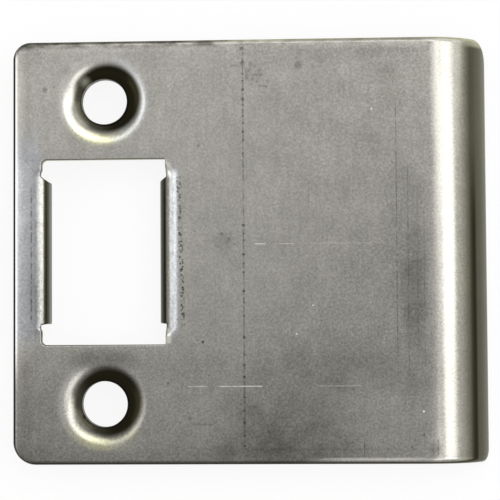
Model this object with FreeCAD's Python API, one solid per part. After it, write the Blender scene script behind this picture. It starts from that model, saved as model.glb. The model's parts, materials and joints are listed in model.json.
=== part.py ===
import FreeCAD, Part
import math
import os

from FreeCAD import Vector

# Door strike plate, folded and pressed from one sheet.
# Millimetres. Origin midway between the two screw holes, on the back face that seats on the jamb.
# +X runs towards the curled lip, +Y up the jamb, +Z out of the exposed face.

# Sheet and blank
sheet = 1.27
face_height = 57.15
left_edge_x = -12.3
lip_start_x = 43.9
half_height = face_height / 2

# Curled lip, measured on the exposed side
lip_r = 8.4
lip_deg = 72.0

# Corners of the blank: the four differ, as the tumbled original does
left_top_r = 2.4
left_bottom_r = 3.1
lip_top_r = 3.3
lip_bottom_r = 1.8

# Rounding that the punch leaves on the exposed side of a cut edge
edge_roll_r = 0.5
opening_roll_r = 0.28

# Screw holes, each at the bottom of a pressed countersink
screw_pitch = 41.0
hole_r = 3.08
dimple_r = 6.15
dimple_shoulder_r = 4.3
dimple_rim_depth = 2.75

# Latch opening and the two flanges folded back from its long sides
opening_half_x = 8.4
opening_half_y = 12.5
opening_corners = {"left_top": 1.3, "left_bottom": 0.65, "right_bottom": 0.2, "right_top": 0.2}
flange_half_y = 9.65
flange_depth = 3.6
flange_inset = 0.9
flange_inner_x = opening_half_x - flange_inset
flange_tip_round = 0.25

# Each flange bends in two steps, a gentle run-in and then a tight bend
LEFT = {
    "side": -1,
    "run_in_r": 3.2,
    "run_in_deg": 27.0,
    "bend_r": 1.4,
    "root_top_y": 10.9,
    "root_bottom_y": -9.8,
    "run_out": 1.1,
}
RIGHT = {
    "side": 1,
    "run_in_r": 4.3,
    "run_in_deg": 14.0,
    "bend_r": 2.5,
    "root_top_y": 10.15,
    "root_bottom_y": -9.75,
    "run_out": 1.9,
}

CLEAR = 1.0


def at(x, z, y=0.0):
    """A point given in the cross-section plane, X across the plate and Z out of its face."""
    return Vector(x, y, z)


def on_circle(centre_x, centre_z, radius, tilt_deg):
    """The point of a circle where its surface leans tilt_deg from facing +Z towards +X."""
    tilt = math.radians(tilt_deg)
    return at(centre_x + radius * math.sin(tilt), centre_z + radius * math.cos(tilt))


def arc(centre_x, centre_z, radius, from_deg, to_deg):
    """A circular edge in the cross-section plane, between two surface tilts."""
    first = on_circle(centre_x, centre_z, radius, from_deg)
    middle = on_circle(centre_x, centre_z, radius, (from_deg + to_deg) / 2)
    last = on_circle(centre_x, centre_z, radius, to_deg)
    return Part.Arc(first, middle, last).toShape()


def line(start, end):
    return Part.makeLine(start, end)


def prism(edges, y_from, y_to):
    """A closed cross-section swept along Y."""
    face = Part.Face(Part.Wire(Part.sortEdges(edges)[0]))
    face.translate(Vector(0, y_from, 0))
    return face.extrude(Vector(0, y_to - y_from, 0))


def box(x_from, x_to, y_from, y_to, z_from, z_to):
    size = (x_to - x_from, y_to - y_from, z_to - z_from)
    return Part.makeBox(*size, Vector(x_from, y_from, z_from))


def edges_at(shape, point, reach=0.05):
    """The edges whose middle lies at a point."""
    return [e for e in shape.Edges if e.CenterOfMass.distanceToPoint(point) < reach]


# The blank with its lip curled away from the exposed face

def curled_blank():
    centre_z = sheet - lip_r
    inner_r = lip_r - sheet
    tip_front = on_circle(lip_start_x, centre_z, lip_r, lip_deg)
    tip_back = on_circle(lip_start_x, centre_z, inner_r, lip_deg)
    edges = [
        line(at(left_edge_x, sheet), at(lip_start_x, sheet)),
        arc(lip_start_x, centre_z, lip_r, 0, lip_deg),
        line(tip_front, tip_back),
        arc(lip_start_x, centre_z, inner_r, lip_deg, 0),
        line(at(lip_start_x, 0), at(left_edge_x, 0)),
        line(at(left_edge_x, 0), at(left_edge_x, sheet)),
    ]
    blank = prism(edges, -half_height, half_height)
    tip = (tip_front + tip_back) / 2
    corners = [
        (at(left_edge_x, sheet / 2, half_height), left_top_r),
        (at(left_edge_x, sheet / 2, -half_height), left_bottom_r),
        (tip + Vector(0, half_height, 0), lip_top_r),
        (tip - Vector(0, half_height, 0), lip_bottom_r),
    ]
    for point, radius in corners:
        blank = blank.makeFillet(radius, edges_at(blank, point))
    return blank


def on_exposed_side(point):
    """True for a point on the flat face or on the outside of the curled lip."""
    if point.x <= lip_start_x:
        return abs(point.z - sheet) < 1e-4
    return abs(math.hypot(point.x - lip_start_x, point.z - sheet + lip_r) - lip_r) < 1e-4


def rolled_outline(blank):
    """Round the exposed edge all round the blank, as a punched edge is."""
    rim = []
    for edge in blank.Edges:
        first, last = edge.ParameterRange
        samples = [edge.valueAt(first + (last - first) * k / 4) for k in range(5)]
        along_bend = all(abs(p.x - lip_start_x) < 1e-4 for p in samples)
        if all(on_exposed_side(p) for p in samples) and not along_bend:
            rim.append(edge)
    return blank.makeFillet(edge_roll_r, rim)


# The latch opening, with its own corner radii and the same rolled edge

def opening_cutter():
    block = box(
        -opening_half_x, opening_half_x,
        -opening_half_y, opening_half_y,
        -CLEAR, sheet + CLEAR,
    )
    signs = {"left": -1, "right": 1, "bottom": -1, "top": 1}
    for name, radius in opening_corners.items():
        across, up = name.split("_")
        x = signs[across] * opening_half_x
        y = signs[up] * opening_half_y
        block = block.makeFillet(radius, edges_at(block, at(x, sheet / 2, y)))
    return block


def with_opening(plate):
    cut = plate.cut(opening_cutter())
    rim = []
    for edge in cut.Edges:
        box_of = edge.BoundBox
        flat = abs(box_of.ZMin - sheet) < 1e-4 and abs(box_of.ZMax - sheet) < 1e-4
        inside_x = max(abs(box_of.XMin), abs(box_of.XMax)) < opening_half_x + 1e-3
        inside_y = max(abs(box_of.YMin), abs(box_of.YMax)) < opening_half_y + 1e-3
        if flat and inside_x and inside_y:
            rim.append(edge)
    return cut.makeFillet(opening_roll_r, rim)


# A pressed countersink: one continuous shoulder that steepens down to the hole

def dimple():
    steepest = math.degrees(math.asin((dimple_r - hole_r) / dimple_shoulder_r))
    centre_z = sheet - dimple_shoulder_r
    back_r = dimple_shoulder_r - sheet
    rim_z = sheet - dimple_rim_depth
    mouth = on_circle(dimple_r, centre_z, dimple_shoulder_r, -steepest)
    back_end = on_circle(dimple_r, centre_z, back_r, -steepest)
    run = (back_end.z - rim_z) / math.tan(math.radians(steepest))
    rim_outer = at(back_end.x - run, rim_z)
    rim_inner = at(hole_r, rim_z)
    edges = [
        arc(dimple_r, centre_z, dimple_shoulder_r, -steepest, 0),
        line(at(dimple_r, sheet), at(dimple_r, 0)),
        arc(dimple_r, centre_z, back_r, 0, -steepest),
        line(back_end, rim_outer),
        line(rim_outer, rim_inner),
        line(rim_inner, mouth),
    ]
    face = Part.Face(Part.Wire(Part.sortEdges(edges)[0]))
    return face.revolve(Vector(0, 0, 0), Vector(0, 0, 1), 360)


def with_dimples(plate):
    ring = dimple()
    for y in (screw_pitch / 2, -screw_pitch / 2):
        centre = Vector(0, y, -CLEAR)
        disc = Part.makeCylinder(dimple_r, sheet + 2 * CLEAR, centre)
        placed = ring.copy()
        placed.translate(Vector(0, y, 0))
        plate = plate.cut(disc).fuse(placed)
    return plate.removeSplitter()


# The folded flanges. Each is drawn once for the right side and mirrored for the left.

def bend_figures(f):
    """Start of the run-in and the centres of the two tangent arcs, on the right side."""
    turn = math.sin(math.radians(f["run_in_deg"]))
    rise = math.cos(math.radians(f["run_in_deg"]))
    start_x = flange_inner_x + f["run_in_r"] * turn + f["bend_r"] * (1 - turn)
    centre_1 = (start_x, sheet - f["run_in_r"])
    step = f["run_in_r"] - f["bend_r"]
    centre_2 = (start_x - step * turn, centre_1[1] + step * rise)
    return start_x, centre_1, centre_2


def flange(f):
    start_x, (x1, z1), (x2, z2) = bend_figures(f)
    lean = f["run_in_deg"]
    tip_z = sheet - flange_depth
    back_x = flange_inner_x + sheet
    front_1, back_1 = f["run_in_r"], f["run_in_r"] - sheet
    front_2, back_2 = f["bend_r"], f["bend_r"] - sheet
    edges = [
        line(at(start_x, 0), at(start_x, sheet)),
        arc(x1, z1, front_1, 0, -lean),
        arc(x2, z2, front_2, -lean, -90),
        line(at(flange_inner_x, z2), at(flange_inner_x, tip_z)),
        line(at(flange_inner_x, tip_z), at(back_x, tip_z)),
        line(at(back_x, tip_z), at(back_x, z2)),
        arc(x2, z2, back_2, -90, -lean),
        arc(x1, z1, back_1, -lean, 0),
    ]
    body = prism(edges, f["root_bottom_y"], f["root_top_y"])
    for root_y in (f["root_bottom_y"], f["root_top_y"]):
        body = body.cut(slanted_end(root_y))
    tip = at(flange_inner_x, tip_z)
    tips = [e for e in body.Edges if e.BoundBox.ZMax < tip.z + 0.01 and e.BoundBox.XMax < tip.x + 0.01]
    return body.makeFillet(flange_tip_round, tips)


def slanted_end(root_y):
    """The waste that leaves a flange narrower at its fold than at its root."""
    up = 1 if root_y > 0 else -1
    corners = [
        Vector(opening_half_x + sheet, root_y, -flange_depth - CLEAR),
        Vector(opening_half_x, root_y, -flange_depth - CLEAR),
        Vector(flange_inner_x, up * flange_half_y, -flange_depth - CLEAR),
        Vector(flange_inner_x - CLEAR, up * flange_half_y, -flange_depth - CLEAR),
        Vector(flange_inner_x - CLEAR, root_y + up * CLEAR, -flange_depth - CLEAR),
        Vector(opening_half_x + sheet, root_y + up * CLEAR, -flange_depth - CLEAR),
    ]
    face = Part.Face(Part.makePolygon(corners + corners[:1]))
    return face.extrude(Vector(0, 0, flange_depth + sheet + 2 * CLEAR))


def surface_drop(f, x):
    """How far the exposed side of the fold has dropped at x, and its tilt there."""
    start_x, (x1, z1), (x2, z2) = bend_figures(f)
    reach = f["run_in_r"] * math.sin(math.radians(f["run_in_deg"]))
    centre_x, centre_z, radius = x1, z1, f["run_in_r"]
    if start_x - x > reach:
        centre_x, centre_z, radius = x2, z2, f["bend_r"]
    tilt = math.degrees(math.asin((centre_x - x) / radius))
    return sheet - on_circle(centre_x, centre_z, radius, -tilt).z, tilt


def run_out(f, root_y):
    """The drawn-down margin beside a flange, fading out along the notch to a point."""
    start_x, (x1, z1), (x2, z2) = bend_figures(f)
    drop, tilt = surface_drop(f, opening_half_x)
    lean = min(f["run_in_deg"], tilt)
    edges = [
        line(at(start_x, sheet), at(opening_half_x, sheet)),
        line(at(opening_half_x, sheet), at(opening_half_x, sheet - drop)),
        arc(x1, z1, f["run_in_r"], 0, -lean),
    ]
    if tilt > f["run_in_deg"]:
        edges.append(arc(x2, z2, f["bend_r"], -lean, -tilt))
    wire = Part.Wire(Part.sortEdges(edges)[0])
    wire.translate(Vector(0, root_y, 0))
    up = 1 if root_y > 0 else -1
    end = Part.Vertex(opening_half_x, root_y + up * f["run_out"], sheet)
    return Part.makeLoft([wire, end], True)


def mirrored(shape, f):
    return shape if f["side"] > 0 else shape.mirror(Vector(0, 0, 0), Vector(1, 0, 0))


def with_flange(plate, f):
    start_x = bend_figures(f)[0]
    low, high = f["root_bottom_y"], f["root_top_y"]
    slot = box(opening_half_x - CLEAR, start_x, low, high, -CLEAR, sheet + CLEAR)
    plate = plate.cut(mirrored(slot, f))
    plate = plate.fuse(mirrored(flange(f), f))
    for root_y in (low, high):
        margin = mirrored(run_out(f, root_y), f)
        under = margin.copy()
        under.translate(Vector(0, 0, -sheet))
        plate = plate.cut(margin).fuse(under)
    return plate.removeSplitter()


plate = rolled_outline(curled_blank())
plate = with_opening(plate)
plate = with_dimples(plate)
for fold in (LEFT, RIGHT):
    plate = with_flange(plate, fold)

os.makedirs("parts", exist_ok=True)
solids = plate.Solids
if len(solids) != 1:
    raise RuntimeError("the strike plate must be one solid, not %d" % len(solids))
strike_plate = solids[0]
if not strike_plate.isValid():
    raise RuntimeError("the strike plate's solid is not valid")
strike_plate.exportStep("parts/strike_plate.step")
extent = strike_plate.BoundBox
print("strike_plate volume %.2f mm3, area %.1f mm2" % (strike_plate.Volume, strike_plate.Area))
print("x %.3f to %.3f, y %.3f to %.3f, z %.3f to %.3f" % (
    extent.XMin, extent.XMax, extent.YMin, extent.YMax, extent.ZMin, extent.ZMax))
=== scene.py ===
import json
import math

import bpy
from bpy.props import FloatProperty, FloatVectorProperty, PointerProperty
from mathutils import Euler, Matrix, Vector
from mathutils.geometry import delaunay_2d_cdt
from mathutils.kdtree import KDTree


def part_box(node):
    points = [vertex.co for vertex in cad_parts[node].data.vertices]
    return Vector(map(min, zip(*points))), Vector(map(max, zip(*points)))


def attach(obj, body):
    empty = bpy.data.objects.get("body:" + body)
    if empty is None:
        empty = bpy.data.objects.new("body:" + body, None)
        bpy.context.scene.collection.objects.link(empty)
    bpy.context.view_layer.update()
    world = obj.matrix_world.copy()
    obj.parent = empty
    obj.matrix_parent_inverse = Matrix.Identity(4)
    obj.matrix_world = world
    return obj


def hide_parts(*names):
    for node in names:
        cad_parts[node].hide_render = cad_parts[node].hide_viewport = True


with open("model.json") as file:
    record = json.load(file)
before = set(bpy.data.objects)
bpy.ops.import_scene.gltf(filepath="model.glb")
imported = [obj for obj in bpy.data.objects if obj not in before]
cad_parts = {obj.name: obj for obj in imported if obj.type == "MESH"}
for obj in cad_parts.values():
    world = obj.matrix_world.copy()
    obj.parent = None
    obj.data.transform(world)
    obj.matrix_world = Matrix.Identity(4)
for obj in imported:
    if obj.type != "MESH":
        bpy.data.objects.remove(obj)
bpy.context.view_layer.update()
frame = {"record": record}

bl_info = {
    "name": "Door Strike Plate",
    "version": (1, 0, 0),
    "blender": (4, 5, 0),
    "location": "3D View > Sidebar > Strike Plate",
    "description": "Presses a strike plate from a flat blank, finishes the steel and sets the stage",
    "category": "Object",
}

MM = 0.001
NODE = "strike_plate"

# What the frame already says about the plate
LOW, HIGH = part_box(NODE)
SCREWS = next(mount["dims"] for mount in frame["record"]["mounts"] if mount["name"] == "screw_holes")


# Properties that a user would change

def length(name, description, default):
    return FloatProperty(
        name=name, description=description, default=default, unit="LENGTH", subtype="DISTANCE", precision=5)


def angle(name, description, degrees):
    return FloatProperty(
        name=name, description=description, default=math.radians(degrees), unit="ROTATION", subtype="ANGLE")


def share(name, description, default):
    return FloatProperty(
        name=name, description=description, default=default, min=0.0, max=1.0, subtype="FACTOR")


def colour(name, description, default):
    return FloatVectorProperty(
        name=name, description=description, default=default, size=3, min=0.0, max=1.0, subtype="COLOR")


def radiance(name, lamp, default):
    return FloatProperty(name=name, description="Brightness of the " + lamp, default=default, min=0.0)


class PlateSizes(bpy.types.PropertyGroup):
    """Sizes of the blank and of its curled lip."""
    sheet: length("Sheet", "Thickness of the sheet", HIGH.z)
    half_height: length("Half Height", "Half of the face height", HIGH.y)
    left_edge: length("Left Edge", "Place of the straight edge beside the opening", LOW.x)
    lip_start: length("Lip Start", "Where the flat face ends and the lip begins", 43.9 * MM)
    lip_radius: length("Lip Radius", "Radius of the lip on its exposed side", 8.4 * MM)
    lip_angle: angle("Lip Angle", "How far the lip curls", 72.0)
    edge_roll: length("Edge Roll", "Rounding of the exposed edge", 0.62 * MM)
    left_top_corner: length("Left Top Corner", "Corner radius", 2.4 * MM)
    left_bottom_corner: length("Left Bottom Corner", "Corner radius", 3.1 * MM)
    lip_top_corner: length("Lip Top Corner", "Corner radius", 3.3 * MM)
    lip_bottom_corner: length("Lip Bottom Corner", "Corner radius", 1.8 * MM)


class HoleSizes(bpy.types.PropertyGroup):
    """Sizes of the two pressed countersinks."""
    pitch: length("Screw Pitch", "Distance between the screw holes", SCREWS["spacing_y_mm"] * MM)
    hole_radius: length("Hole Radius", "Radius of a screw hole", SCREWS["hole_r_mm"] * MM)
    mouth_radius: length("Mouth Radius", "Radius of the countersink at the face", 6.15 * MM)
    shoulder_radius: length("Shoulder Radius", "Rounding of the countersink's shoulder", 4.3 * MM)
    rim_depth: length("Rim Depth", "Depth of the countersink's rim behind the face", 2.75 * MM)
    hole_roll: length("Hole Roll", "Rounding of the hole's edge", 0.12 * MM)


class OpeningSizes(bpy.types.PropertyGroup):
    """Sizes of the latch opening and of the two flanges folded back from it."""
    half_width: length("Half Width", "Half of the opening between its notches", 8.4 * MM)
    half_height: length("Half Height", "Half of the opening's height", 12.5 * MM)
    roll: length("Opening Roll", "Rounding of the opening's exposed edge", 0.2 * MM)
    left_top_corner: length("Left Top Corner", "Corner radius", 0.75 * MM)
    left_bottom_corner: length("Left Bottom Corner", "Corner radius", 0.65 * MM)
    right_corner: length("Right Corners", "Corner radius", 0.2 * MM)
    flange_half_height: length("Flange Half Height", "Half of the flange along its fold", 9.65 * MM)
    flange_depth: length("Flange Depth", "Reach of the flange behind the face", 3.6 * MM)
    flange_inset: length("Flange Inset", "How far the flange stands in from the notch wall", 0.9 * MM)
    left_run_in_radius: length("Left Run-in Radius", "First, gentle bend of the left fold", 3.2 * MM)
    left_run_in_angle: angle("Left Run-in Angle", "Turn of the gentle bend", 27.0)
    left_bend_radius: length("Left Bend Radius", "Second, tight bend of the left fold", 1.4 * MM)
    left_root_top: length("Left Root Top", "Upper end of the left fold", 10.25 * MM)
    left_root_bottom: length("Left Root Bottom", "Lower end of the left fold", -9.8 * MM)
    left_run_out: length("Left Run-out", "Margin that the left fold draws down", 1.0 * MM)
    right_run_in_radius: length("Right Run-in Radius", "First, gentle bend of the right fold", 4.3 * MM)
    right_run_in_angle: angle("Right Run-in Angle", "Turn of the gentle bend", 14.0)
    right_bend_radius: length("Right Bend Radius", "Second, tight bend of the right fold", 2.5 * MM)
    right_root_top: length("Right Root Top", "Upper end of the right fold", 10.15 * MM)
    right_root_bottom: length("Right Root Bottom", "Lower end of the right fold", -9.75 * MM)
    right_run_out: length("Right Run-out", "Margin that the right fold draws down", 1.9 * MM)


# Spacing of the mesh
FINE = 0.14 * MM
LIP_STEP = 0.22 * MM
ROW = 0.8 * MM
COARSE = 1.6 * MM
ROLL_STEPS = 6
HOLE_SIDES = 112
SHARP_DEGREES = 38
RING_STEP = 0.13 * MM
BEND_STEP = 0.2 * MM
ROOM_SHARE = 0.6
NOTCH_ROOT_RADIUS = 0.1 * MM
TAB_CORNER_RADIUS = 0.3 * MM

# Shares of the way down a flange's end where its outline turns
FLARE_STEPS = (0.35, 0.65, 0.85, 0.96, 1.0)


class Fold:
    """One flange's fold: a gentle run-in, a tight bend and a straight leg."""

    def __init__(self, opening, side):
        read = lambda name: getattr(opening, side + "_" + name)
        self.sign = -1 if side == "left" else 1
        self.r1 = read("run_in_radius")
        self.r2 = read("bend_radius")
        self.lean = read("run_in_angle")
        self.root_top = read("root_top")
        self.root_bottom = read("root_bottom")
        self.run_out = read("run_out")
        self.wall = opening.half_width
        self.face = opening.half_width - opening.flange_inset
        turn, rise = math.sin(self.lean), math.cos(self.lean)
        self.start = self.face + self.r1 * turn + self.r2 * (1 - turn)
        bend_depth = self.r1 - (self.r1 - self.r2) * rise
        self.leg_start = self.start - self.r1 * self.lean - self.r2 * (math.pi / 2 - self.lean)
        self.tip = self.leg_start - (opening.flange_depth - bend_depth)

    def flattened(self, x):
        """Where a point of the folded face lies on the flat blank."""
        run_in = self.r1 * math.sin(self.lean)
        if self.start - x <= run_in:
            return self.start - self.r1 * math.asin(max(self.start - x, 0) / self.r1)
        tilt = math.asin(min(1, math.sin(self.lean) + (self.start - x - run_in) / self.r2))
        return self.start - self.r1 * self.lean - self.r2 * (tilt - self.lean)


# The flat blank: rounded loops, strips along them, and triangles between

def spacing(a, b, plate, opening):
    """Distance between the points of a straight side, finer where the sheet bends."""
    middle = (a + b) / 2
    along_v = abs(b.y - a.y) > abs(b.x - a.x)
    in_opening = abs(middle.x) < opening.half_width + MM and abs(middle.y) < opening.half_height
    if in_opening:
        in_notch = abs(middle.y) > opening.flange_half_height
        return ROW if along_v and not in_notch else FINE
    if middle.x > plate.lip_start:
        return ROW if along_v else LIP_STEP
    return ROW


def run_round(corners, spread):
    """Points along a rounded outline, each with the way into the metal, which lies on the left."""
    bends = []
    for index, (place, radius) in enumerate(corners):
        arrive = (place - corners[index - 1][0]).normalized()
        leave = (corners[(index + 1) % len(corners)][0] - place).normalized()
        turn = math.atan2(arrive.cross(leave), arrive.dot(leave))
        side = 1 if turn > 0 else -1
        inward = Vector((-arrive.y, arrive.x))
        begin = place - arrive * radius * math.tan(abs(turn) / 2)
        centre = begin + inward * radius * side
        steps = max(1, math.ceil(abs(turn) * max(radius / BEND_STEP, 4)))
        bend = []
        for step in range(steps + 1):
            normal = Matrix.Rotation(turn * step / steps, 2) @ inward
            bend.append((centre - normal * radius * side, normal))
        if radius == 0:
            bend = bend[:1]
        bends.append(bend)
    track = []
    for index, bend in enumerate(bends):
        track += bend
        a, normal = bend[-1]
        b = bends[(index + 1) % len(bends)][0][0]
        pieces = max(1, math.ceil((b - a).length / spread(a, b)))
        track += [(a.lerp(b, k / pieces), normal) for k in range(1, pieces)]
    return track


def roll_profile(radius):
    """Inset and depth of each ring of a rolled edge, from the cut side up to the face."""
    turns = [math.pi / 2 * step / ROLL_STEPS for step in range(ROLL_STEPS, -1, -1)]
    return [(radius * (1 - math.sin(t)), radius * (1 - math.cos(t))) for t in turns]


def outline_corners(plate):
    end = plate.lip_start + plate.lip_radius * plate.lip_angle
    h = plate.half_height
    return [
        (Vector((plate.left_edge, -h)), plate.left_bottom_corner),
        (Vector((plate.lip_start, -h)), 0),
        (Vector((end, -h)), plate.lip_bottom_corner),
        (Vector((end, h)), plate.lip_top_corner),
        (Vector((plate.lip_start, h)), 0),
        (Vector((plate.left_edge, h)), plate.left_top_corner),
    ]


def tab_half(fold, opening, root, up, corner):
    """Corners of one half of a flange's tab, from the notch wall to the middle of its tip."""
    wall = fold.wall
    margin = min(abs(root) + fold.run_out, opening.half_height - corner - NOTCH_ROOT_RADIUS)
    corners = [
        (Vector((wall, up * margin)), TAB_CORNER_RADIUS),
        (Vector((fold.flattened(wall), root)), NOTCH_ROOT_RADIUS),
    ]
    end = up * opening.flange_half_height
    for part in FLARE_STEPS:
        x = wall + (fold.face - wall) * part
        corners.append((Vector((fold.flattened(x), root + (end - root) * part)), NOTCH_ROOT_RADIUS))
    corners.append((Vector((fold.tip, end)), TAB_CORNER_RADIUS))
    return corners


def tab_corners(fold, opening):
    """Corners of a tab from its top to its bottom on the right, or bottom to top on the left."""
    if fold.sign > 0:
        top = tab_half(fold, opening, fold.root_top, 1, opening.right_corner)
        bottom = tab_half(fold, opening, fold.root_bottom, -1, opening.right_corner)
        return top + bottom[::-1]
    top = tab_half(fold, opening, fold.root_top, 1, opening.left_top_corner)
    bottom = tab_half(fold, opening, fold.root_bottom, -1, opening.left_bottom_corner)
    return [(Vector((-place.x, place.y)), radius) for place, radius in bottom + top[::-1]]


def opening_corners(opening, left, right):
    w, h = opening.half_width, opening.half_height
    return [
        (Vector((w, -h)), opening.right_corner),
        (Vector((-w, -h)), opening.left_bottom_corner),
        *tab_corners(left, opening),
        (Vector((-w, h)), opening.left_top_corner),
        (Vector((w, h)), opening.right_corner),
        *tab_corners(right, opening),
    ]


def hole_track(holes, centre_v):
    """A screw hole's edge, run clockwise so that the metal lies on the left."""
    track = []
    for side in range(HOLE_SIDES):
        turn = -2 * math.pi * side / HOLE_SIDES
        out = Vector((math.cos(turn), math.sin(turn)))
        track.append((Vector((0, centre_v)) + out * holes.hole_radius, out))
    return track


def hole_profile(holes):
    """Rings from a hole's rolled edge out past the mouth of its countersink."""
    profile = roll_profile(holes.hole_roll)
    reach = holes.mouth_radius - holes.hole_radius
    slope = math.asin(reach / holes.shoulder_radius)
    back = holes.shoulder_radius - HIGH.z
    cone_depth = holes.rim_depth - HIGH.z - back * (1 - math.cos(slope))
    foot = reach - back * math.sin(slope) - cone_depth / math.tan(slope)
    for start, end in ((holes.hole_roll, foot), (foot, reach + RING_STEP)):
        rings = math.ceil((end - start) / RING_STEP)
        profile += [(start + (end - start) * k / rings, 0) for k in range(1, rings + 1)]
    return profile


def grid(low, high, step):
    """Evenly spaced values from low to high."""
    count = max(1, math.ceil((high - low) / step))
    return [low + (high - low) * k / count for k in range(count + 1)]


def inner_points(plate, opening, folds):
    """Points inside the blank, close together where it bends, with the room each one needs."""
    points = []
    lip_end = plate.lip_start + plate.lip_radius * plate.lip_angle
    half = plate.half_height
    for u in grid(plate.lip_start, lip_end, LIP_STEP):
        points += [(u, v, LIP_STEP) for v in grid(-half, half, ROW)]
    for fold in folds:
        inner = opening.flange_half_height - 0.4 * MM
        for u in grid(fold.tip, fold.start, FINE):
            rows = grid(-inner, inner, ROW)
            rows += grid(inner + FINE, opening.half_height, FINE)
            rows += grid(-opening.half_height, -inner - FINE, FINE)
            points += [(fold.sign * u, v, FINE) for v in rows]
    for u in grid(plate.left_edge, plate.lip_start - COARSE, COARSE):
        points += [(u, v, COARSE) for v in grid(-half, half, COARSE)]
    return points


def flat_blank(plate, holes, opening, left, right):
    """The blank before pressing, both faces and the cut edge, as vertices and faces."""
    spread = lambda a, b: spacing(a, b, plate, opening)
    loops = [
        (run_round(outline_corners(plate), spread), roll_profile(plate.edge_roll)),
        (run_round(opening_corners(opening, left, right), spread), roll_profile(opening.roll)),
        (hole_track(holes, holes.pitch / 2), hole_profile(holes)),
        (hole_track(holes, -holes.pitch / 2), hole_profile(holes)),
    ]
    front = []
    faces = []
    rims = []
    borders = []
    for track, profile in loops:
        rings = []
        for inset, depth in profile:
            ring = range(len(front), len(front) + len(track))
            front += [(place + normal * inset, depth) for place, normal in track]
            rings.append(list(ring))
        for outer, inner in zip(rings, rings[1:]):
            for a, b in zip(range(len(outer)), [*range(1, len(outer)), 0]):
                faces.append((outer[a], outer[b], inner[b], inner[a]))
        rims.append(rings[0])
        borders.append(rings[-1])

    sources = [index for border in borders for index in border]
    near = KDTree(len(sources))
    for slot, index in enumerate(sources):
        near.insert(front[index][0].to_3d(), slot)
    near.balance()
    for u, v, room in inner_points(plate, opening, (left, right)):
        place = Vector((u, v))
        if near.find(place.to_3d())[2] > ROOM_SHARE * room:
            sources.append(len(front))
            front.append((place, 0))
    areas = []
    first = 0
    for border in borders:
        area = list(range(first, first + len(border)))
        areas.append(area[::-1] if areas else area)
        first += len(border)
    flat = [front[index][0] / MM for index in sources]
    _, _, triangles, originals, _, owners = delaunay_2d_cdt(flat, [], areas, 1, 1e-6, True)
    for triangle, owner in zip(triangles, owners):
        if list(owner) != [0]:
            continue
        corners = [originals[k] for k in triangle]
        if not all(corners):
            raise RuntimeError("the blank's loops cross each other")
        faces.append(tuple(sources[found[0]] for found in corners))

    behind = len(front)
    vertices = [(place.x, place.y, -depth) for place, depth in front]
    vertices += [(place.x, place.y, -plate.sheet) for place, _ in front]
    faces += [tuple(behind + index for index in reversed(face)) for face in faces]
    for rim in rims:
        for a, b in zip(rim, rim[1:] + rim[:1]):
            faces.append((a, behind + a, behind + b, b))
    return vertices, faces


def tidy_mesh(name, vertices, faces):
    """A mesh with only the vertices that its faces use."""
    used = sorted({index for face in faces for index in face})
    place_of = {index: place for place, index in enumerate(used)}
    mesh = bpy.data.meshes.new(name)
    kept = [[place_of[index] for index in face] for face in faces]
    mesh.from_pydata([vertices[index] for index in used], [], kept)
    mesh.validate()
    return mesh


# Node trees written as plain arithmetic

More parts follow.
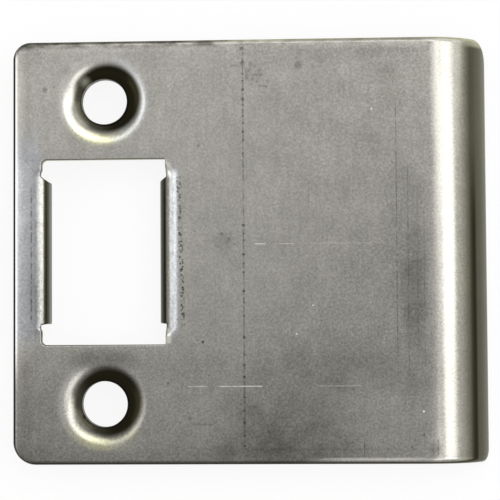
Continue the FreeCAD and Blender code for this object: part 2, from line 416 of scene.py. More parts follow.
class Flow:
    """A value in a node tree. Arithmetic on it adds Math nodes."""

    def __init__(self, tree, output=None):
        self.tree = tree
        self.output = output

    def add(self, kind, settings=None, sockets=None, out=0):
        """Adds a node: its settings first, then the values or links of its sockets."""
        node = self.tree.nodes.new(kind)
        for name, value in (settings or {}).items():
            if name == "stops":
                ramp = node.color_ramp
                while len(ramp.elements) < len(value):
                    ramp.elements.new(0.5)
                for element, (position, tone) in zip(ramp.elements, value):
                    element.position = position
                    element.color = (*tone, 1)
            else:
                setattr(node, name, value)
        for key, value in (sockets or {}).items():
            self.feed(node.inputs[key], value)
        return Flow(self.tree, node.outputs[out])

    def feed(self, socket, value):
        if isinstance(value, Flow):
            self.tree.links.new(value.output, socket)
        else:
            socket.default_value = value

    def math(self, operation, *values):
        return self.add("ShaderNodeMath", {"operation": operation}, dict(enumerate(values)))

    def __add__(self, other):
        return self.math("ADD", self, other)

    def __radd__(self, other):
        return self.math("ADD", other, self)

    def __sub__(self, other):
        return self.math("SUBTRACT", self, other)

    def __rsub__(self, other):
        return self.math("SUBTRACT", other, self)

    def __mul__(self, other):
        return self.math("MULTIPLY", self, other)

    def __rmul__(self, other):
        return self.math("MULTIPLY", other, self)

    def __truediv__(self, other):
        return self.math("DIVIDE", self, other)

    def __rtruediv__(self, other):
        return self.math("DIVIDE", other, self)

    def __neg__(self):
        return self.math("MULTIPLY", self, -1)

    def __abs__(self):
        return self.math("ABSOLUTE", self)

    def __pow__(self, other):
        return self.math("POWER", self, other)

    def sin(self):
        return self.math("SINE", self)

    def cos(self):
        return self.math("COSINE", self)

    def sqrt(self):
        return self.math("SQRT", self)

    def least(self, other):
        return self.math("MINIMUM", self, other)

    def most(self, other):
        return self.math("MAXIMUM", self, other)

    def above(self, other):
        return self.math("GREATER_THAN", self, other)

    def ramp(self, low, high, at_low=0.0, at_high=1.0):
        """A soft step from one value to another. It stays between them without a clamp."""
        return self.add(
            "ShaderNodeMapRange", {"interpolation_type": "SMOOTHSTEP", "clamp": False},
            {"Value": self, "From Min": low, "From Max": high, "To Min": at_low, "To Max": at_high})

    def band(self, start, full, fade, end):
        """1 between two values, fading to 0 on both sides."""
        return self.ramp(start, full) * self.ramp(fade, end, 1, 0)

    def split(self):
        """The three parts of a vector."""
        parts = self.add("ShaderNodeSeparateXYZ", None, {"Vector": self})
        node = parts.output.node
        return [Flow(self.tree, node.outputs[k]) for k in range(3)]

    def vector(self, x, y, z):
        return self.add("ShaderNodeCombineXYZ", None, {"X": x, "Y": y, "Z": z})

    def scaled(self, factors):
        """A vector with each part multiplied."""
        return self.add("ShaderNodeVectorMath", {"operation": "MULTIPLY"}, {0: self, 1: factors})

    def blend(self, colour_a, colour_b, factor):
        """Two colours mixed by a factor."""
        return self.add("ShaderNodeMix", {"data_type": "RGBA"},
                        {0: factor, 6: colour_a, 7: colour_b}, out=2)


# The press: a geometry tree that curls the lip, sinks the countersinks and folds the flanges

def press_inputs(plate, holes, left, right):
    """Every size that the press takes, by the name of its input."""
    values = {
        "Sheet": plate.sheet,
        "Lip Start": plate.lip_start,
        "Lip Radius": plate.lip_radius,
        "Lip Angle": plate.lip_angle,
        "Screw Pitch": holes.pitch,
        "Hole Radius": holes.hole_radius,
        "Mouth Radius": holes.mouth_radius,
        "Shoulder Radius": holes.shoulder_radius,
        "Rim Depth": holes.rim_depth,
    }
    for name, fold in (("Left", left), ("Right", right)):
        values[name + " Fold Start"] = fold.start
        values[name + " Run-in Radius"] = fold.r1
        values[name + " Run-in Angle"] = fold.lean
        values[name + " Bend Radius"] = fold.r2
        values[name + " Root Top"] = fold.root_top
        values[name + " Root Bottom"] = fold.root_bottom
        values[name + " Run-out"] = fold.run_out
    return values


def curled(size, u, depth):
    """The blank rolled about the lip's axis."""
    turn = ((u - size["Lip Start"]).most(0) / size["Lip Radius"]).least(size["Lip Angle"])
    reach = size["Lip Radius"] - depth
    x = u.least(size["Lip Start"]) + reach * turn.sin()
    z = size["Sheet"] - size["Lip Radius"] + reach * turn.cos()
    return x, z


def sunk(size, u, v, depth):
    """How far the countersinks carry a point of the sheet downwards."""
    sheet, shoulder, mouth = size["Sheet"], size["Shoulder Radius"], size["Mouth Radius"]
    off_centre = abs(v) - size["Screw Pitch"] / 2
    inside = (mouth - (u * u + off_centre * off_centre).sqrt()).most(0)
    inside = inside.least(mouth - size["Hole Radius"])
    face = (shoulder * shoulder - inside * inside).sqrt() - shoulder
    back_radius = shoulder - sheet
    slope = (mouth - size["Hole Radius"]) / shoulder
    on_arc = inside.least(back_radius * slope)
    tangent = slope / (1 - slope * slope).sqrt()
    back = (back_radius * back_radius - on_arc * on_arc).sqrt() - back_radius
    back = (back - tangent * (inside - on_arc)).most(sheet - size["Rim Depth"])
    return face + (back - face) * depth / sheet


def folded(size, name, sign, u, v, depth):
    """How far one flange's fold moves a point of the sheet across and down."""
    start, lean = size[name + " Fold Start"], size[name + " Run-in Angle"]
    r1, r2 = size[name + " Run-in Radius"], size[name + " Bend Radius"]
    across = u * sign
    run = (start - across).most(0)
    tight_length = r2 * (math.pi / 2 - lean)
    turn_1 = (run / r1).least(lean)
    past = run - r1 * lean
    turn_2 = past.most(0).least(tight_length) / r2
    leg = (past - tight_length).most(0)
    turn = turn_1 + turn_2
    gentle = lean.least(turn_1)
    x = across.most(start) - r1 * gentle.sin() - r2 * (turn.sin() - gentle.sin())
    z = size["Sheet"] - r1 * (1 - gentle.cos()) - r2 * (gentle.cos() - turn.cos()) - leg
    x = x + depth * turn.sin()
    z = z - depth * turn.cos()
    beyond = (v - size[name + " Root Top"]).most(size[name + " Root Bottom"] - v).most(0)
    hold = beyond.ramp(0, size[name + " Run-out"], 1, 0) * across.above(0)
    flat_z = size["Sheet"] - depth
    return (x - across) * hold * sign, (z - flat_z) * hold


def press_tree(values):
    """Builds the press and returns the tree with its inputs' identifiers."""
    tree = bpy.data.node_groups.new("press_and_fold", "GeometryNodeTree")
    tree.interface.new_socket("Blank", in_out="INPUT", socket_type="NodeSocketGeometry")
    sockets = {}
    for name in values:
        item = tree.interface.new_socket(name, in_out="INPUT", socket_type="NodeSocketFloat")
        sockets[name] = item.identifier
    metal = tree.interface.new_socket("Metal", in_out="INPUT", socket_type="NodeSocketMaterial")
    sockets["Metal"] = metal.identifier
    tree.interface.new_socket("Plate", in_out="OUTPUT", socket_type="NodeSocketGeometry")
    source = tree.nodes.new("NodeGroupInput")
    size = {name: Flow(tree, source.outputs[name]) for name in ("Blank", *values, "Metal")}

    flow = Flow(tree)
    u, v, w = flow.add("GeometryNodeInputPosition").split()
    depth = -w
    x, z = curled(size, u, depth)
    z = z + sunk(size, u, v, depth)
    for name, sign in (("Left", -1), ("Right", 1)):
        across, down = folded(size, name, sign, u, v, depth)
        x = x + across
        z = z + down
    pressed = flow.add("GeometryNodeSetPosition", None,
                       {"Geometry": size["Blank"], "Position": flow.vector(x, v, z)})
    whole = flow.add("GeometryNodeRealizeInstances", None, {"Geometry": pressed})
    finished = flow.add("GeometryNodeSetMaterial", None, {"Geometry": whole, "Material": size["Metal"]})
    result = tree.nodes.new("NodeGroupOutput")
    tree.links.new(finished.output, result.inputs["Plate"])
    return tree, sockets


def pressed_mesh(blank, values, metal):
    """The blank after the press, as a plain mesh."""
    tree, sockets = press_tree(values)
    worker = bpy.data.objects.new("blank", blank)
    bpy.context.collection.objects.link(worker)
    press = worker.modifiers.new("press", "NODES")
    press.node_group = tree
    for name, value in values.items():
        press[sockets[name]] = value
    press[sockets["Metal"]] = metal
    graph = bpy.context.evaluated_depsgraph_get()
    mesh = bpy.data.meshes.new_from_object(worker.evaluated_get(graph))
    worker.modifiers.remove(press)
    bpy.data.objects.remove(worker)
    return mesh


# The steel

# Marks on the exposed face, in millimetres from the middle of the latch opening
SCRIBE_LINE = 18.95
SCRIBE_DOTS = (
    27.4, 25.5, 23.8, 22.9, 20.4, 18.9, 18.1, 3.4, 2.3, 1.4, -0.5, -1.7, -2.9, -5.4, -6.95, -8.8,
    21.7, 19.6, 17.2, 16.0, 14.9, 13.1, -11.6, -13.9, -15.3, -16.9, -19.6, -21.4, -23.0, -24.7, -26.1,
)
FIRST_DOT, SMALL_DOT, LARGE_DOT = 0.17, 0.19, 0.26

# Each speck: across, up, radius and darkness
SPECKS = (
    (13.4, -12.2, 0.26, 0.9), (12.7, -12.0, 0.14, 0.7), (13.5, -13.6, 0.11, 0.4),
    (8.7, -17.7, 0.24, 0.6), (10.0, -9.2, 0.13, 0.9), (-7.9, 22.0, 0.55, 0.4),
    (-6.6, 22.4, 0.3, 0.25), (12.9, 14.2, 0.22, 0.5), (26.7, 25.0, 0.14, 0.6),
    (33.4, 22.5, 0.14, 0.5), (27.7, 9.0, 0.16, 0.5), (42.8, -24.7, 0.2, 0.8),
    (17.0, 1.6, 0.35, 0.3), (20.1, 25.2, 0.5, 0.35), (19.6, 23.3, 0.3, 0.4),
    (22.4, 22.8, 0.3, 0.25), (33.5, -18.6, 0.3, 0.35), (-7.4, -24.6, 0.14, 0.5),
    (11.6, -22.4, 0.5, 0.25), (12.4, 2.6, 0.12, 0.7), (12.5, 2.2, 0.1, 0.6),
    (26.4, 24.9, 0.75, 0.45), (-2.7, -22.2, 0.4, 0.8), (22.1, 22.1, 0.2, 0.6),
    (21.4, 23.6, 0.2, 0.45), (20.5, 24.8, 0.2, 0.5), (18.8, 27.3, 0.45, 0.6),
    (18.9, 25.2, 0.5, 0.5), (20.3, 23.2, 0.35, 0.4), (21.2, 24.3, 0.25, 0.35),
    (20.9, 22.7, 0.2, 0.4), (19.8, 24.3, 0.3, 0.4), (16.0, 2.3, 0.3, 0.4),
    (15.5, 0.6, 0.25, 0.4), (17.7, 0.9, 0.2, 0.35), (16.7, 1.1, 0.3, 0.3),
    (-4.8, 24.6, 0.9, 0.16), (41.2, -26.3, 0.2, 0.6),
)
SPECK_SOFTNESS = 0.7

# Each bright speck: across, up and radius
CHIPS = ((36.2, 18.9, 0.14), (28.2, -7.4, 0.13), (42.8, -21.6, 0.2), (26.0, -11.2, 0.14))

# The burr in the upper countersink, where its painted shade is halved: across, up and radius
BURR = (-2.5, 23.1, 1.1)

# Each upright line: across, lower end, upper end, half width, darkness
UPRIGHT_LINES = (
    (18.95, -26.0, 27.6, 0.16, 0.5), (39.45, -18.8, 20.0, 0.09, 0.5), (39.45, -6.0, 4.0, 0.09, 0.35),
    (40.95, -19.0, 12.0, 0.09, 0.35), (42.2, -14.0, 9.0, 0.12, 0.2), (43.1, -16.0, 6.0, 0.14, 0.18),
    (34.9, -27.7, -25.4, 0.1, 0.6), (44.66, -27.7, -25.0, 0.16, 0.7), (-9.75, -9.8, 9.0, 0.16, 0.6),
    (16.4, -27.4, -25.6, 0.3, 0.25), (27.7, 4.6, 8.6, 0.07, 0.3), (19.5, 22.6, 24.9, 0.3, 0.35),
)
UPRIGHT_FADE = 0.8

# Each level line of grime: up, left end, right end and darkness
LEVEL_LINES = (
    (25.0, 17.0, 18.6, 0.3), (24.9, 19.6, 21.0, 0.25), (23.7, 19.4, 21.9, 0.3),
    (22.2, 20.6, 22.4, 0.35), (-23.2, 11.0, 15.0, 0.3), (-26.6, 18.0, 42.0, 0.2),
)
LEVEL_HALF_WIDTH, LEVEL_FADE = 0.2, 0.4

# Each level scratch: up, left end, right end and brightness
SCRATCHES = (
    (0.9, 20.2, 22.2, 0.8), (0.9, 23.4, 26.0, 0.4), (0.9, 26.8, 38.5, 0.15), (-18.15, 11.2, 14.2, 0.55),
    (-18.15, 15.4, 21.6, 0.8), (-18.15, 28.6, 32.7, 0.25), (-18.15, 32.0, 35.0, 0.2),
)
SCRATCH_HALF_WIDTH, SCRATCH_FADE = 0.1, 0.5

# Each stain: across, up, half its width, half its height, darkness
STAINS = (
    (25.5, -24.0, 10.0, 6.5, 0.32), (31.5, -15.0, 8.0, 5.5, 0.2), (24.5, -15.5, 5.0, 6.0, 0.12),
    (41.8, -5.0, 2.4, 10.0, 0.28), (40.5, 2.0, 4.0, 14.0, 0.14), (16.4, -27.0, 2.0, 1.6, 0.3),
    (44.3, -26.6, 1.1, 1.2, 0.4), (20.5, -16.5, 2.5, 8.0, 0.1), (0.0, -14.6, 5.5, 2.2, 0.4),
    (-11.5, -24.0, 8.0, 9.0, 0.2), (-12.0, 27.5, 5.0, 4.0, 0.2), (30.0, 29.0, 18.0, 4.5, 0.16),
    (24.0, -26.0, 13.0, 3.6, 0.22), (32.0, -17.5, 8.0, 4.5, 0.06), (23.0, -16.4, 26.0, 3.4, 0.08),
    (41.0, -15.5, 6.0, 5.0, 0.16), (16.3, 1.2, 2.2, 1.9, 0.2), (18.0, -20.8, 3.2, 2.6, 0.2),
    (20.0, 24.0, 2.6, 2.2, 0.1), (38.6, 24.2, 1.4, 1.0, 0.14),
)

# Where each finish lies, in millimetres across the plate or up it from the opening's middle.
# Two values fade one way between them, and four fade in and out again.
LIP_ACROSS = (42.6, 45.0)
TOP_EDGE_UP = (27.2, 28.0)
# The rolled edges, the left wall, the notches and the folds below carry painted highlights and painted
# shade.
TOP_ROLL_UP = (28.0, 28.2)
TOP_ROLL_ACROSS = (11, 20)
FOOT_SHADE_UP = (-28.3, -27.9)
FOOT_ROLL_UP = (-28.25, -28.05, -27.85, -27.6)
LEFT_WALL_ACROSS = (-11.97, -11.87)
LEFT_ROLL_ACROSS = (-11.9, -11.4)
LEFT_STRIP_ACROSS = (-10.6, -9.0)
NOTCH_MIDDLE = -0.15
NOTCH_UP = (9.9, 10.5, 11.9, 12.5)
NOTCH_ACROSS = (8.5, 8.75, 8.9, 9.4)
OPENING_UP = (10.6, 12.0)
FOLDS_UP = (10.2, 11.6)
LEFT_FOLD_ACROSS = (-9.6, -9.0, -8.3, -7.5)
LEFT_LEG_ACROSS = (-8.8, -8.4, -7.2, -6.8)
RIGHT_FOLD_ACROSS = (8.4, 9.0, 9.6, 10.5)
COOL_REFLECTION_FOLD_ACROSS = (8.6, 9.2, 10.0, 10.6)
COOL_REFLECTION_EDGE_UP = (-14, -10, 13, 18)

# Radii on the countersinks, in millimetres: where their painted shade, their dish and the painted highlight
# on the shoulder ring lie
RIM_SHADE = (3.1, 3.5)
DISH_SHADE = (4.05, 5.25)
DISH = (5.2, 5.8)
SHOULDER = (4.2, 4.8, 5.8, 6.5)


class SteelFinish(bpy.types.PropertyGroup):
    """Colours and texture of the bare steel."""
    # Full brightness of the steel, which the painted highlights on the shoulder rings, folds and rolled
    # edges reach towards.
    bright: colour("Bright Steel", "Colour of the steel where it is rubbed bright", (0.8, 0.778, 0.715))
    # A bluish painted reflection of the left lights, laid on the left edge, the countersinks' right
    # shoulder rings and the right fold.
    cool_reflection: colour("Cool Steel", "Colour of the rubbed steel beside the opening", (0.79, 0.8, 0.825))
    # A yellowish painted reflection, laid on the countersinks' lower shoulder rings and on steep sides.
    warm_reflection: colour("Warm Steel", "Colour of the steel on its steep sides", (0.8, 0.785, 0.56))
    # The dark end of the steel's tone: stains and marks, and the painted shade on steep sides and in the
    # countersinks.
    grime_and_shade: colour("Grimy Steel", "Colour of the steel under grime", (0.02, 0.018, 0.009))
    scratch: colour("Scratch", "Colour of a fresh scratch", (0.95, 0.94, 0.87))
    clean: share("Clean", "How bright the plain face is, from grimy to rubbed", 0.6)
    smooth: share("Smooth", "Roughness where the steel is rubbed", 0.21)
    dull: share("Dull", "Roughness where the steel is stained or sheared", 0.42)
    grain_size: length("Grain Size", "Size of the rolled surface's grain", 0.3 * MM)
    grain_depth: length("Grain Depth", "Depth of the rolled surface's grain", 0.004 * MM)


class Surface:
    """A point of the plate for its material: its place in millimetres and how it faces."""

    def __init__(self, flow):
        self.flow = flow
        self.place = flow.add("ShaderNodeTexCoord", out="Object").scaled((1 / MM, 1 / MM, 1 / MM))
        self.x, self.y = self.place.split()[:2]
        self.facing = flow.add("ShaderNodeTexCoord", out="Normal").split()[2]
        self.level = flow.vector(self.x, self.y, 0.0)

    def noise(self, size, detail=2.0, stretch=(1, 1, 1)):
        """Even noise from 0 to 1 with features of a size in millimetres."""
        factors = [part / size for part in stretch]
        return self.flow.add("ShaderNodeTexNoise", None, {
            "Vector": self.place.scaled(factors), "Scale": 1.0, "Detail": detail, "Roughness": 0.6})

    def spot(self, across, up, radius, softness=0.5):
        """1 inside a round spot, 0 outside it."""
        away = self.flow.add("ShaderNodeVectorMath", {"operation": "DISTANCE"},
                             {0: self.level, 1: (across, up, 0)}, out="Value")
        return away.ramp(radius * (1 - softness), radius, 1, 0)

    def cloud(self, across, up, half_width, half_height):
        """1 in the middle of a soft oval cloud, 0 outside it."""
        off_x = (self.x - across) / half_width
        off_y = (self.y - up) / half_height
        return (off_x * off_x + off_y * off_y).ramp(0, 1, 1, 0)

    def line(self, along, across, centre, low, high, half_width, fade):
        """1 on a straight line, fading out at its ends."""
        near = abs(across - centre).ramp(half_width * 0.4, half_width, 1, 0)
        return near * along.band(low, low + fade, high - fade, high)


# Cycles holds few values at once, so marks of a kind are joined before a noise breaks them up

def face_marks(surface):
    """How dark the marks and the painted dark line along the foot are, and where the face is scratched
    bright or has a painted highlight beside the right notches.
    """
    dots = surface.spot(SCRIBE_LINE, SCRIBE_DOTS[0], FIRST_DOT)
    for index, up in enumerate(SCRIBE_DOTS[1:]):
        dots = dots.most(surface.spot(SCRIBE_LINE, up, SMALL_DOT if index % 3 else LARGE_DOT))
    dark = dots * 0.75
    for *place, darkness in SPECKS:
        dark = dark.most(surface.spot(*place, SPECK_SOFTNESS) * darkness)
    # A painted dark line along the rolled foot, strongest towards the left.
    foot = surface.y.ramp(*FOOT_SHADE_UP, 1, 0) * surface.x.ramp(24, 30, 1, 0.35)
    dark = dark.most(foot * 0.6)
    lines = 0.0
    for across, low, high, half_width, darkness in UPRIGHT_LINES:
        line = surface.line(surface.y, surface.x, across, low, high, half_width, UPRIGHT_FADE)
        lines = (line * darkness).most(lines)
    for up, low, high, darkness in LEVEL_LINES:
        line = surface.line(surface.x, surface.y, up, low, high, LEVEL_HALF_WIDTH, LEVEL_FADE)
        lines = (line * darkness).most(lines)
    leaning = surface.x + surface.y * 0.03
    beside_fold = surface.line(surface.y, leaning, 10.5, -10.4, 10.2, 0.4, 0.4)
    top_edge = surface.y.ramp(*TOP_EDGE_UP) * surface.x.ramp(13, 24, 1, 0.45) * surface.x.ramp(43, 46, 1, 0)
    bright = surface.spot(*CHIPS[0])
    for chip in CHIPS[1:]:
        bright = bright.most(surface.spot(*chip))
    # A painted highlight on the rolled edges beside the right notches.
    notch = abs(surface.y - NOTCH_MIDDLE).band(*NOTCH_UP)
    bright = bright.most(surface.x.band(*NOTCH_ACROSS) * notch * 0.7)
    scratches = 0.0
    for up, low, high, brightness in SCRATCHES:
        line = surface.line(surface.x, surface.y, up, low, high, SCRATCH_HALF_WIDTH, SCRATCH_FADE)
        scratches = (line * brightness).most(scratches)

    breaks = surface.noise(0.7, 1.0)
    crumbs = surface.noise(0.35, 1.0)
    smears = surface.noise(1.1, 2.0, (0.5, 1, 1))
    dark = dark.most(lines * breaks.ramp(0.38, 0.6, 0.25, 1))
    dark = dark.most(beside_fold * crumbs.ramp(0.48, 0.62) * 0.8)
    dark = dark.most(top_edge * smears.ramp(0.3, 0.65, 0.3, 0.8))
    bright = bright.most(scratches * breaks.ramp(0.3, 0.5, 0.5, 1))
    front = surface.facing.above(0.2)
    return dark * front, bright * front


def face_darkening(surface, lip):
    """How much darker the face is: more towards its foot and the lip, with broad stained clouds."""
    clean = 1 - surface.y.ramp(-31, 12, 0.36, 0) * (1 - lip)
    clean = (1 - surface.x.ramp(12, 42) * surface.y.ramp(-18, -8) * (1 - lip) * 0.18) * clean
    clean = (1 - surface.y.ramp(-28.5, -25.2, 0.25, 0) * surface.x.ramp(38, 44, 1, 0)) * clean
    spared = 1.0
    for *oval, darkness in STAINS:
        spared = (1 - surface.cloud(*oval) * darkness) * spared
    uneven = surface.noise(2.4, 2.0).ramp(0.3, 0.7, 0.7, 1.3)
    return 1 - clean * spared ** uneven


def countersink_finish(surface, pitch):
    """The countersinks' painted shade, their reach, the painted highlight on their shoulder rings and where
    a yellowish painted reflection lies on them.
    """
    painted_shade, reach, painted_light, warm_reflection = 0.0, 0.0, 0.0, 0.0
    for centre, right_highlight in ((pitch / 2, 0.8), (-pitch / 2, 0.0)):
        off_y = surface.y - centre
        radius = (surface.x * surface.x + off_y * off_y).sqrt()
        side = (surface.x * 0.86 + off_y * 0.42) / radius
        # Painted shade in the dish, heavier and wider towards its upper right, and near the hole's rim.
        thick = side.ramp(-1.0, 0.0, 0.82, 1.0)
        painted_shade = (radius - side * 0.55 - side.most(0) * 0.2).ramp(*DISH_SHADE, 1, 0) * thick + painted_shade
        painted_shade = painted_shade.most(radius.ramp(*RIM_SHADE, 0.9, 0))
        reach = radius.ramp(*DISH, 1, 0) + reach
        shoulder = radius.band(*SHOULDER)
        # A painted highlight on the shoulder ring: on its left, and for the upper countersink on its right
        # too.
        painted_light = shoulder * side.ramp(-0.5, 0.5, 1, right_highlight) + painted_light
        # A yellowish painted reflection on the shoulder ring's lower side.
        warm_reflection = shoulder * (-off_y / radius).ramp(0.4, 0.95) + warm_reflection
    painted_shade = painted_shade * (1 - surface.spot(*BURR, 1.0) * 0.5)
    return painted_shade, reach, painted_light, warm_reflection


def painted_fold_and_edge_light(surface):
    """Painted highlights and shade on the right fold, painted shade on the left fold, and painted
    highlights on the rolled left edge, foot and head.
    """
    beside = abs(surface.y).ramp(*FOLDS_UP, 1, 0)
    uneven = surface.noise(0.5, 2.0, (1, 0.5, 1))
    right = surface.x.band(*RIGHT_FOLD_ACROSS) * beside
    left = surface.x.band(*LEFT_FOLD_ACROSS) * beside
    edge = surface.x.ramp(*LEFT_ROLL_ACROSS, 1, 0) * surface.y.ramp(-19, -13)
    foot = surface.y.band(*FOOT_ROLL_UP) * surface.x.ramp(26, 33) * surface.x.ramp(39, 43, 1, 0.4)
    right = right * ((uneven - 0.45) * 1.2 - surface.x.ramp(8.7, 9.5, 0.45, 0))
    head = surface.y.ramp(*TOP_ROLL_UP) * surface.x.ramp(*TOP_ROLL_ACROSS) * surface.x.ramp(22, 26, 1, 0.4)
    return right - left * (uneven * 0.6 + 0.1) + edge + foot * 0.8 + head


def painted_steep_shade(surface, lip, beside_opening):
    """Painted dark reflection on whatever leans away: thinner on the lip, with a painted dark band along
    it.
    """
    steep = surface.facing.ramp(0.74, 0.88, 0.97, 0)
    lip_share = surface.facing.ramp(0.33, 0.66, 0.25, 0.13) * surface.y.ramp(5, 18, 1, 1.3)
    steep = steep * (1 - lip * lip_share)
    steep = steep * (1 - surface.y.ramp(27.2, 27.8) * surface.x.ramp(8, 20, 0.25, 0.92))
    # A painted dark band along the lip, where it would reflect dark surroundings.
    painted_dark_band = surface.facing.band(0.65, 0.69, 0.71, 0.78) * lip
    steep = steep + (0.99 - steep) * painted_dark_band * surface.y.ramp(2, 16, 1, 0.2)
    # A painted dark line along the left wall.
    steep = steep.most(surface.x.ramp(*LEFT_WALL_ACROSS, 1, 0))
    flanges = abs(surface.x).ramp(9, 10, 1, 0) * beside_opening
    steep = steep * (1 - surface.facing.ramp(0.02, 0.2, 1, 0) * (1 - flanges) * 0.75)
    return steep * (1 - surface.x.band(*LEFT_LEG_ACROSS) * beside_opening * 0.1)


def steel_material(finish, pitch):
    material = bpy.data.materials.new("bare_steel")
    material.use_nodes = True
    tree = material.node_tree
    shader = tree.nodes["Principled BSDF"]
    flow = Flow(tree)
    surface = Surface(flow)
    grain = surface.noise(finish.grain_size / MM, 1.0)
    mottle = surface.noise(3.5, 4.0)
    drift = surface.noise(14.0, 1.0)
    streaks = surface.noise(0.5, 1.0, (1.0, 0.12, 1.0))
    lip = surface.x.ramp(*LIP_ACROSS)
    exposed = surface.facing.ramp(-0.3, 0.0)
    dark, bright = face_marks(surface)
    darkening = face_darkening(surface, lip) * exposed.ramp(0, 1, 0.3, 1)
    # Painted shade, the painted highlight on the shoulder rings and a yellowish painted reflection, all on
    # the countersinks.
    holes, reach, shoulder_highlight, warm_reflection = countersink_finish(surface, pitch / MM)
    beside_opening = abs(surface.y).ramp(*OPENING_UP, 1, 0)
    # Painted dark reflection on steep sides, held off inside the countersinks' dishes, where their own
    # painted shade lies.
    steep = painted_steep_shade(surface, lip, beside_opening)
    painted_shade = (steep * (1 - reach) + holes) * surface.facing.above(-0.1)
    # Painted highlights on the countersinks' shoulder rings, the right fold and the rolled edges, with
    # painted shade on the left fold.
    painted_light = (shoulder_highlight * 0.45 + painted_fold_and_edge_light(surface)) * surface.facing.above(0.2)
    sheared = abs(surface.facing).ramp(0.08, 0.3, 1, 0)

    texture = (grain - 0.5) * (0.5 + darkening) + (mottle - 0.5) * 0.28
    texture = texture + (drift - 0.5) * 0.14 + (streaks - 0.5) * 0.16
    strip = surface.x.ramp(*LEFT_STRIP_ACROSS, 1, 0) * abs(surface.y + 1).ramp(11, 15, 0.06, -0.22)
    level = (1 + texture) * (1 - darkening) * (1 - lip * 0.12) * (1 + strip) * finish.clean
    # The painted highlights lift the tone; the marks and the painted shade lower it.
    level = (level + painted_light.least(1.0) * 0.4) * (1 - dark) * (1 - painted_shade)
    # A bluish painted reflection on the left edge, the countersinks' right shoulder rings and the right
    # fold.
    cool_reflection = surface.x.ramp(-9.0, -8.0, 1, 0) * surface.y.band(*COOL_REFLECTION_EDGE_UP)
    cool_reflection = cool_reflection.most(shoulder_highlight * surface.x.ramp(0, 3) * 0.8)
    cool_reflection = cool_reflection.most(surface.x.band(*COOL_REFLECTION_FOLD_ACROSS) * beside_opening)
    # A yellowish painted reflection on steep sides too.
    warm_reflection = warm_reflection.most(surface.facing.ramp(0.72, 0.97, 1, 0))
    steel = flow.blend((*finish.bright, 1), (*finish.warm_reflection, 1), warm_reflection * exposed)
    steel = flow.blend(steel, (*finish.cool_reflection, 1), cool_reflection * exposed)
    tone = flow.blend((*finish.grime_and_shade, 1), steel, level.most(0.0).least(1.0))
    flow.feed(shader.inputs["Base Color"], flow.blend(tone, (*finish.scratch, 1), bright * 0.85))
    flow.feed(shader.inputs["Metallic"], 1.0)

    worn = finish.smooth + (mottle - 0.5) * 0.08 + (grain - 0.5) * 0.06
    dulled = (darkening * 0.2).most(dark * 0.5).most(sheared * 0.8)
    rough = worn + dulled * (finish.dull - finish.smooth)
    rough = rough + surface.y.ramp(*TOP_ROLL_UP) * surface.x.ramp(*TOP_ROLL_ACROSS) * 0.35
    flow.feed(shader.inputs["Roughness"], rough.most(0.08).least(0.6))

    cuts = surface.noise(0.25, 1.0, (1.0, 1.0, 0.15)) * sheared
    bump = flow.add("ShaderNodeBump", None, {
        "Strength": 1.0, "Distance": finish.grain_depth, "Height": grain * 0.6 + cuts * 4.0})
    flow.feed(shader.inputs["Normal"], bump)
    return material


class PLATE_OT_press(bpy.types.Operator):
    """Cuts the blank, presses it and gives it its steel"""
    bl_idname = "strike.press"
    bl_label = "Press Plate"

    def execute(self, context):
        scene = context.scene
        plate, holes, opening = scene.plate_sizes, scene.hole_sizes, scene.opening_sizes
        left, right = Fold(opening, "left"), Fold(opening, "right")
        vertices, faces = flat_blank(plate, holes, opening, left, right)
        blank = tidy_mesh("blank", vertices, faces)
        steel = steel_material(scene.steel_finish, holes.pitch)
        mesh = pressed_mesh(blank, press_inputs(plate, holes, left, right), steel)
        mesh.name = "pressed_plate"
        mesh.shade_smooth()
        mesh.set_sharp_from_angle(angle=math.radians(SHARP_DEGREES))
        piece = bpy.data.objects.new("pressed_plate", mesh)
        scene.collection.objects.link(piece)
        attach(piece, "root")
        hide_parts(NODE)
        return {"FINISHED"}


# The stage

# Each softbox: its azimuth and zenith in degrees, then its width and height in metres
SOFTBOXES = {
    "key": (45, 31, 1.3, 0.42),
    "near": (45, 20, 0.5, 0.2),
    "far": (40, 62, 1.0, 0.4),
    "right": (0, 40, 0.5, 0.4),
    "top": (90, 28, 0.5, 0.34),
    "top_left": (145, 27, 0.36, 0.28),
    "left": (172, 27, 0.36, 0.28),
    "far_left": (180, 46, 0.6, 0.36),
    "lower": (315, 24, 0.4, 0.34),
}
LAMP_DISTANCE = 1.0

# The floor's fibres: how many to a metre, and their shade
FIBRE_SCALE = 900.0
FIBRE_SHADE = 0.98

# Heights above the horizon, as the sine of the angle, where the sky's tones are set
SKY_STEPS = (0.0, 0.1, 0.31, 0.52, 0.72, 0.81, 0.89, 1.0)


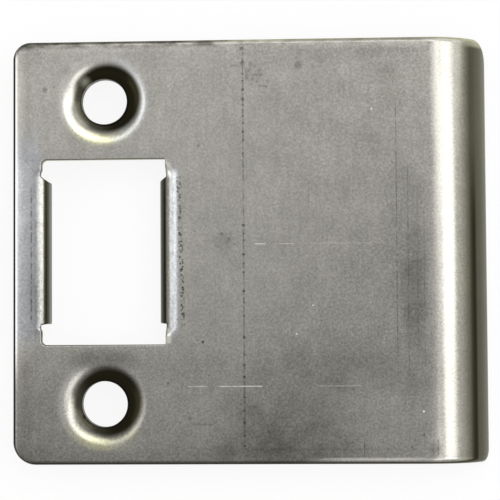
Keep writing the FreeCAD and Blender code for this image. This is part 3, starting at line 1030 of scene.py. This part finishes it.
class StageSizes(bpy.types.PropertyGroup):
    """The floor, the lights and the camera."""
    floor_colour: colour("Floor Colour", "Colour of the floor", (0.94, 0.94, 0.94))
    floor_width: length("Floor Width", "Side of the square floor", 6.0)
    floor_lift: share("Floor Lift", "How much of the floor shows as plain white", 0.86)
    sky: FloatVectorProperty(
        name="Sky", description="Tones of the sky from the horizon to overhead",
        default=(0.9, 0.8, 0.55, 0.73, 0.66, 0.32, 0.75, 0.6), size=8, min=0.0)
    key: radiance("Key", "wide softbox", 1.1)
    near: radiance("Near", "strip nearest the camera", 1.05)
    far: radiance("Far", "low softbox", 0.85)
    right: radiance("Right", "softbox over the lip", 1.4)
    top: radiance("Top", "softbox above the plate", 1.15)
    top_left: radiance("Top Left", "softbox above and left", 0.55)
    left: radiance("Left", "softbox beyond the left edge", 1.1)
    far_left: radiance("Far Left", "low softbox beyond the left edge", 1.1)
    lower: radiance("Lower", "softbox below and right", 1.0)
    camera_place: FloatVectorProperty(
        name="Camera Place", description="Where the camera stands",
        default=(33.5 * MM, -11.96 * MM, 248.23 * MM),
        size=3, unit="LENGTH", subtype="TRANSLATION", precision=5)
    camera_turn: FloatVectorProperty(
        name="Camera Turn", description="How the camera is turned",
        default=[math.radians(part) for part in (2.765, 3.1906, -0.3578)],
        size=3, unit="ROTATION", subtype="EULER")
    lens: FloatProperty(name="Lens", description="Focal length in millimetres", default=133.0)


def floor_material(stage):
    """Matt pale paper that shows near white, keeps the shadow and can be seen through from below."""
    material = bpy.data.materials.new("pale_floor")
    material.use_nodes = True
    tree = material.node_tree
    flow = Flow(tree)
    shader = tree.nodes["Principled BSDF"]
    paper = Flow(tree, shader.outputs[0])
    place = flow.add("ShaderNodeTexCoord", out="Object")
    fibre = flow.add("ShaderNodeTexNoise", None, {"Vector": place, "Scale": FIBRE_SCALE, "Detail": 2.0})
    darker = [part * FIBRE_SHADE for part in stage.floor_colour]
    flow.feed(shader.inputs["Base Color"], flow.blend((*darker, 1), (*stage.floor_colour, 1), fibre))
    flow.feed(shader.inputs["Roughness"], 0.85)
    rays = flow.add("ShaderNodeLightPath").output.node.outputs
    seen = Flow(tree, rays["Is Camera Ray"]).most(Flow(tree, rays["Is Glossy Ray"]))
    seen = seen.most(Flow(tree, rays["Is Transmission Ray"]))
    white = flow.add("ShaderNodeEmission", None, {"Color": (1, 1, 1, 1), "Strength": 1.0})
    lifted = flow.add("ShaderNodeMixShader", None, {0: seen * stage.floor_lift, 1: paper, 2: white})
    behind = flow.add("ShaderNodeNewGeometry", out="Backfacing")
    clear = flow.add("ShaderNodeBsdfTransparent")
    whole = flow.add("ShaderNodeMixShader", None, {0: behind, 1: lifted, 2: clear})
    tree.links.new(whole.output, tree.nodes["Material Output"].inputs["Surface"])
    return material


def lay_floor(scene, stage):
    half = stage.floor_width / 2
    corners = [(-half, -half, LOW.z), (half, -half, LOW.z), (half, half, LOW.z), (-half, half, LOW.z)]
    mesh = bpy.data.meshes.new("floor")
    mesh.from_pydata(corners, [], [(0, 1, 2, 3)])
    mesh.materials.append(floor_material(stage))
    floor = bpy.data.objects.new("floor", mesh)
    scene.collection.objects.link(floor)


def light_sky(scene, stage):
    """A soft grey room with a paler backdrop."""
    world = bpy.data.worlds.new("studio")
    world.use_nodes = True
    tree = world.node_tree
    flow = Flow(tree)
    height = flow.add("ShaderNodeTexCoord", out="Generated").split()[2]
    tones = [(step, (tone, tone, tone)) for step, tone in zip(SKY_STEPS, stage.sky)]
    room = flow.add("ShaderNodeValToRGB", {"stops": tones}, {"Fac": height})
    flow.feed(tree.nodes["Background"].inputs["Color"], room)
    scene.world = world


def hang_lamps(scene, stage):
    """Softboxes round the plate, each facing it."""
    for name, (azimuth, zenith, width, height) in SOFTBOXES.items():
        a, z = math.radians(azimuth), math.radians(zenith)
        across = Vector((-math.sin(a), math.cos(a), 0))
        out = Vector((math.sin(z) * math.cos(a), math.sin(z) * math.sin(a), math.cos(z)))
        lamp = bpy.data.lights.new(name + "_softbox", "AREA")
        lamp.shape = "RECTANGLE"
        lamp.size, lamp.size_y = width, height
        lamp.energy = math.pi * width * height * getattr(stage, name)
        turn = Matrix((across, out.cross(across), out)).transposed().to_4x4()
        holder = bpy.data.objects.new(name + "_softbox", lamp)
        holder.matrix_world = Matrix.Translation(out * LAMP_DISTANCE) @ turn
        scene.collection.objects.link(holder)


def set_camera(scene, stage):
    camera = bpy.data.cameras.new("camera")
    camera.lens = stage.lens
    camera.clip_start = 0.01
    camera.clip_end = 20.0
    holder = bpy.data.objects.new("camera", camera)
    holder.location = stage.camera_place
    holder.rotation_euler = Euler(stage.camera_turn)
    scene.collection.objects.link(holder)
    scene.camera = holder


class PLATE_OT_stage(bpy.types.Operator):
    """Lays the floor, hangs the lights and sets the camera"""
    bl_idname = "strike.stage"
    bl_label = "Set Stage"

    def execute(self, context):
        scene = context.scene
        stage = scene.stage_sizes
        lay_floor(scene, stage)
        light_sky(scene, stage)
        hang_lamps(scene, stage)
        set_camera(scene, stage)
        scene.view_settings.view_transform = "Standard"
        return {"FINISHED"}


class PLATE_PT_panel(bpy.types.Panel):
    """Lists the operators that make the strike plate."""
    bl_idname = "PLATE_PT_panel"
    bl_label = "Strike Plate"
    bl_space_type = "VIEW_3D"
    bl_region_type = "UI"
    bl_category = "Strike Plate"

    def draw(self, context):
        column = self.layout.column()
        column.operator(PLATE_OT_press.bl_idname)
        column.operator(PLATE_OT_stage.bl_idname)


GROUPS = {
    "plate_sizes": PlateSizes,
    "hole_sizes": HoleSizes,
    "opening_sizes": OpeningSizes,
    "steel_finish": SteelFinish,
    "stage_sizes": StageSizes,
}
CLASSES = (*GROUPS.values(), PLATE_OT_press, PLATE_OT_stage, PLATE_PT_panel)


def register():
    for item in CLASSES:
        bpy.utils.register_class(item)
    for name, group in GROUPS.items():
        setattr(bpy.types.Scene, name, PointerProperty(type=group))


def unregister():
    for name in GROUPS:
        delattr(bpy.types.Scene, name)
    for item in reversed(CLASSES):
        bpy.utils.unregister_class(item)


def main():
    register()
    bpy.ops.strike.press()
    bpy.ops.strike.stage()


if __name__ == "__main__":
    main()
